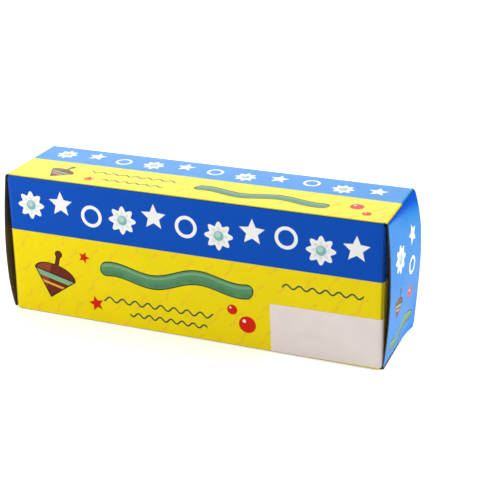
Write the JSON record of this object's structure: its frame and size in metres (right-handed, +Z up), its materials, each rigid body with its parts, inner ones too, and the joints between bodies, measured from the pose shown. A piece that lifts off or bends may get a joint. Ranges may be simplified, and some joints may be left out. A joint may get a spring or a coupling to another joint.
{
  "type": "boxed floating ball game",
  "caption": "Tuck-end paperboard carton with hinged end flaps that holds a wooden blow-pipe game: a pipe with nozzle, post and hoop, and a light ball.",
  "frame": {"origin": "middle of the carton's underside, at the bottom centre of the closed carton's box", "axes": "+X along the carton towards its right end as seen from the front, +Y from front to back, +Z up"},
  "size_m": [0.1872, 0.044, 0.067],
  "materials": {
    "printed_board": "glossy printed paperboard, blue and yellow",
    "bare_board": "uncoated grey-brown recycled paperboard",
    "painted_wood": "green painted wood",
    "stained_wood": "brown stained wood",
    "ball_foam": "white beaded foam"
  },
  "bodies": {
    "carton": {"front_panel": "printed_board", "top_panel": "printed_board", "back_panel": "printed_board", "bottom_panel": "printed_board", "glue_flap": "bare_board"},
    "right_flap": {"right_end_panel": "printed_board"},
    "right_tongue": {"right_tuck_tongue": "printed_board"},
    "right_front_dust": {"right_front_dust_flap": "printed_board"},
    "right_back_dust": {"right_back_dust_flap": "printed_board"},
    "left_flap": {"left_end_panel": "printed_board"},
    "left_tongue": {"left_tuck_tongue": "printed_board"},
    "left_front_dust": {"left_front_dust_flap": "printed_board"},
    "left_back_dust": {"left_back_dust_flap": "printed_board"},
    "game": {"blow_pipe": "painted_wood", "nozzle": "stained_wood", "post": "stained_wood", "hoop": "stained_wood"},
    "ball": {"ball": "ball_foam"}
  },
  "joints": [
    {"name": "right_flap_swing", "type": "hinge", "parent": "carton", "child": "right_flap", "pos_m": [0.089, 0, 0.06698], "axis": [0, -1, 0], "range_deg": [0, 178]},
    {"name": "right_tongue_fold", "type": "hinge", "parent": "right_flap", "child": "right_tongue", "pos_m": [0.089, 0, 0.0008], "axis": [0, -1, 0], "range_deg": [0, 71.2]},
    {"name": "right_front_dust_swing", "type": "hinge", "parent": "carton", "child": "right_front_dust", "pos_m": [0.0882, -0.022, 0.0335], "axis": [0, 0, -1], "range_deg": [0, 89]},
    {"name": "right_back_dust_swing", "type": "hinge", "parent": "carton", "child": "right_back_dust", "pos_m": [0.0882, 0.022, 0.0335], "axis": [0, 0, 1], "range_deg": [0, 89]},
    {"name": "left_flap_swing", "type": "hinge", "parent": "carton", "child": "left_flap", "pos_m": [-0.089, 0, 0.06698], "axis": [0, 1, 0], "range_deg": [0, 178]},
    {"name": "left_tongue_fold", "type": "hinge", "parent": "left_flap", "child": "left_tongue", "pos_m": [-0.089, 0, 0.0008], "axis": [0, 1, 0], "range_deg": [0, 71.2]},
    {"name": "left_front_dust_swing", "type": "hinge", "parent": "carton", "child": "left_front_dust", "pos_m": [-0.0882, -0.022, 0.0335], "axis": [0, 0, 1], "range_deg": [0, 89]},
    {"name": "left_back_dust_swing", "type": "hinge", "parent": "carton", "child": "left_back_dust", "pos_m": [-0.0882, 0.022, 0.0335], "axis": [0, 0, -1], "range_deg": [0, 89]},
    {"name": "game_slide", "type": "slide", "parent": "carton", "child": "game", "axis": [1, 0, 0], "range_m": [-0.004, 0.004]},
    {"name": "ball_roll", "type": "slide", "parent": "carton", "child": "ball", "axis": [1, 0, 0], "range_m": [-0.025, 0.042]}
  ],
  "couplings": [
    {"joint": "right_tongue_fold", "follows": "right_flap_swing", "ratio": 0.4},
    {"joint": "right_front_dust_swing", "follows": "right_flap_swing", "ratio": 0.5},
    {"joint": "right_back_dust_swing", "follows": "right_flap_swing", "ratio": 0.5},
    {"joint": "left_tongue_fold", "follows": "left_flap_swing", "ratio": 0.4},
    {"joint": "left_front_dust_swing", "follows": "left_flap_swing", "ratio": 0.5},
    {"joint": "left_back_dust_swing", "follows": "left_flap_swing", "ratio": 0.5}
  ]
}
